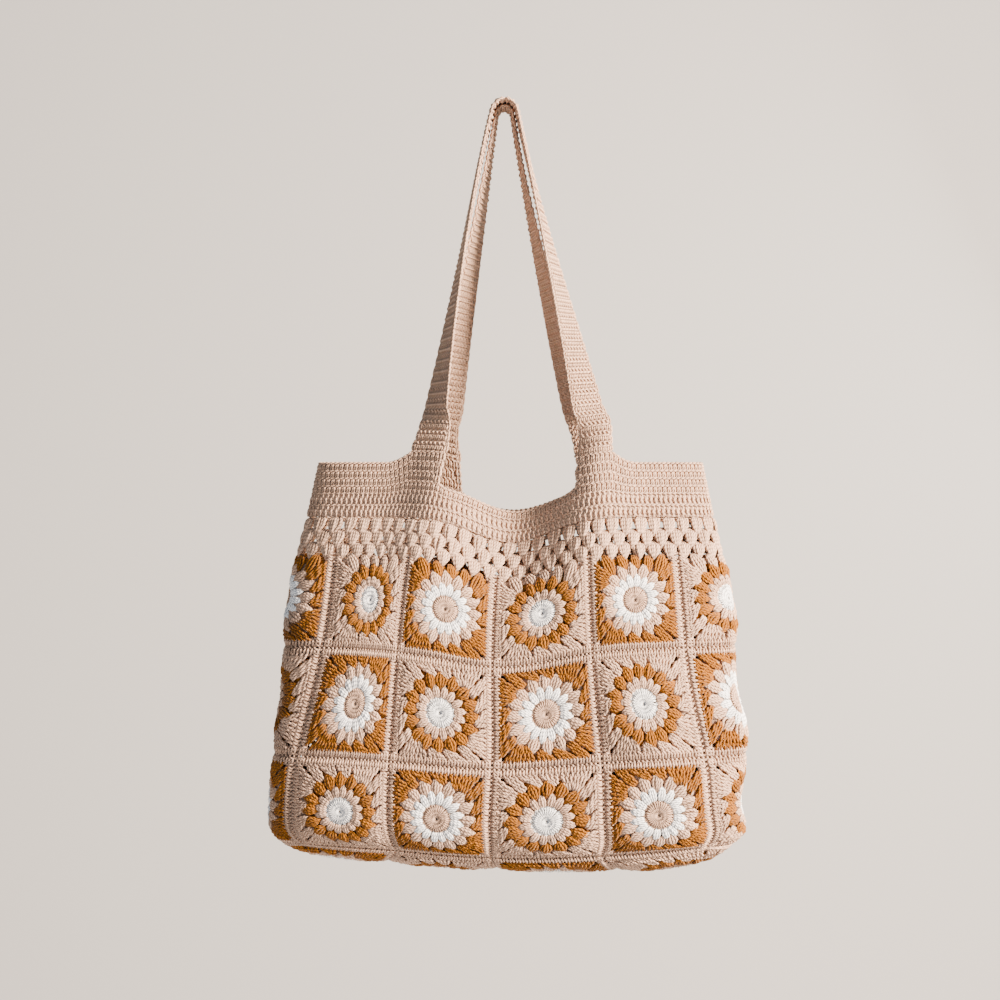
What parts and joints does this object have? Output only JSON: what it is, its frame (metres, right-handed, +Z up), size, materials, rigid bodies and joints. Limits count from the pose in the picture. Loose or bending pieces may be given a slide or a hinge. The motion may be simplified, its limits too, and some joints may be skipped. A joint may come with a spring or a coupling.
{
  "type": "crochet tote bag",
  "caption": "Slouchy crocheted tote of joined sunburst squares, with an openwork yoke, a firm band and long shoulder straps, hanging empty by its straps.",
  "frame": {"origin": "under the inner strap at its peak, where the bag bears on whatever it hangs from", "axes": "+Z up; +X to the viewer's right; the front faces -Y and the back lies towards +Y"},
  "size_m": [0.4206, 0.1043, 0.686],
  "materials": {
    "beige_yarn": "matt worsted cotton yarn",
    "ochre_yarn": "matt worsted cotton yarn",
    "white_yarn": "matt worsted cotton yarn"
  },
  "bodies": {
    "root": {"front_square_1_1": "beige_yarn", "front_square_1_2": "ochre_yarn", "front_square_1_3": "beige_yarn", "front_square_1_4": "ochre_yarn", "front_square_2_1": "ochre_yarn", "front_square_2_2": "beige_yarn", "front_square_2_3": "ochre_yarn", "front_square_2_4": "beige_yarn", "front_square_3_1": "beige_yarn", "front_square_3_2": "ochre_yarn", "front_square_3_3": "beige_yarn", "front_square_3_4": "ochre_yarn", "right_square_1_1": "beige_yarn", "right_square_2_1": "ochre_yarn", "right_square_3_1": "beige_yarn", "back_square_1_1": "ochre_yarn", "back_square_1_2": "beige_yarn", "back_square_1_3": "ochre_yarn", "back_square_1_4": "beige_yarn", "back_square_2_1": "beige_yarn", "back_square_2_2": "ochre_yarn", "back_square_2_3": "beige_yarn", "back_square_2_4": "ochre_yarn", "back_square_3_1": "ochre_yarn", "back_square_3_2": "beige_yarn", "back_square_3_3": "ochre_yarn", "back_square_3_4": "beige_yarn", "left_square_1_1": "ochre_yarn", "left_square_2_1": "beige_yarn", "left_square_3_1": "ochre_yarn", "base_square_1": "ochre_yarn", "base_square_2": "beige_yarn", "base_square_3": "ochre_yarn", "base_square_4": "beige_yarn", "yoke": "beige_yarn", "mouth_band": "beige_yarn", "strap_front": "beige_yarn", "strap_back": "beige_yarn"}
  },
  "joints": []
}
